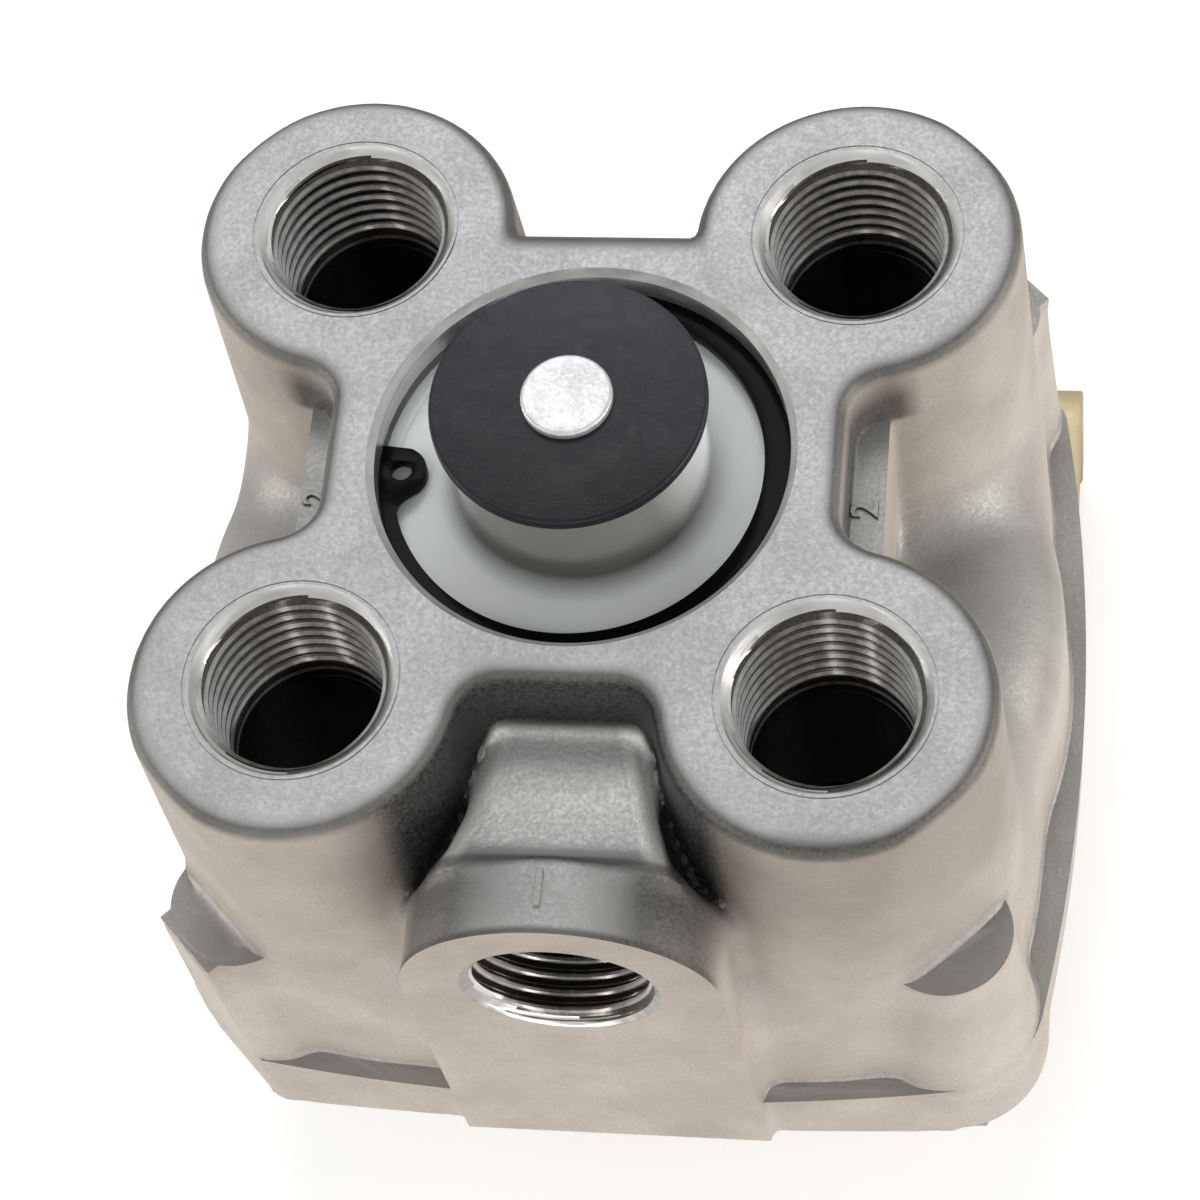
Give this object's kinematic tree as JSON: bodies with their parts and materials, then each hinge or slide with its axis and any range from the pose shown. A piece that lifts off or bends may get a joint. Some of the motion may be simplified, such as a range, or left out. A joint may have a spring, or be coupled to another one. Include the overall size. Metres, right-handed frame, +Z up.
{
  "type": "relay valve",
  "caption": "Air brake relay valve with a square of threaded delivery ports round a capped exhaust, a side supply port, a bolted cover and a mounting bracket.",
  "frame": {"origin": "bottom centre, on the common axis of the exhaust, the valve and the relay piston, level with the end of the control port's boss", "axes": "+Z up along that axis to the delivery ports and the exhaust, -Y out of the supply port, +Y out of the bracket's mounting face"},
  "size_m": [0.103, 0.102, 0.1037],
  "materials": {
    "die_cast": "as cast, satin where it is machined",
    "yellow_zinc": "yellow passivated zinc",
    "zinc_steel": "bright zinc",
    "black_steel": "phosphated and oiled",
    "natural_plastic": "translucent white, smooth",
    "black_plastic": "smooth moulded",
    "rubber": "matte",
    "bright_aluminium": "bright",
    "spring_steel": "drawn wire"
  },
  "bodies": {
    "valve_housing": {"body": "die_cast", "cover": "die_cast", "mounting_bracket": "yellow_zinc", "cover_screws": "zinc_steel", "lock_washers": "zinc_steel", "joint_seal": "rubber", "piston_spring": "spring_steel", "retaining_ring": "black_steel", "exhaust_cover": "natural_plastic", "exhaust_cover_seal": "rubber", "exhaust_diaphragm": "rubber", "diaphragm_rivet": "bright_aluminium", "backing_washer": "zinc_steel", "valve_retainer": "black_plastic", "retainer_seal": "rubber", "stem_seal": "rubber", "spring_washer": "zinc_steel", "valve_spring": "spring_steel"},
    "relay_piston": {"relay_piston": "die_cast", "piston_seal": "rubber"},
    "inlet_exhaust_valve": {"valve_stem": "black_plastic", "valve_rubber": "rubber"}
  },
  "joints": [
    {"name": "relay_piston_slide", "type": "slide", "parent": "valve_housing", "child": "relay_piston", "axis": [0, 0, 1], "range_m": [0, 0.0033], "stiffness_N_per_m": 1500, "springref_m": -0.004, "deforming": ["piston_spring"]},
    {"name": "inlet_exhaust_valve_slide", "type": "slide", "parent": "valve_housing", "child": "inlet_exhaust_valve", "axis": [0, 0, 1], "range_m": [0, 0.0022], "stiffness_N_per_m": 800, "springref_m": -0.003, "deforming": ["valve_spring"]}
  ],
  "couplings": [
    {"joint": "inlet_exhaust_valve_slide", "follows": "relay_piston_slide", "ratio": 0.64}
  ]
}
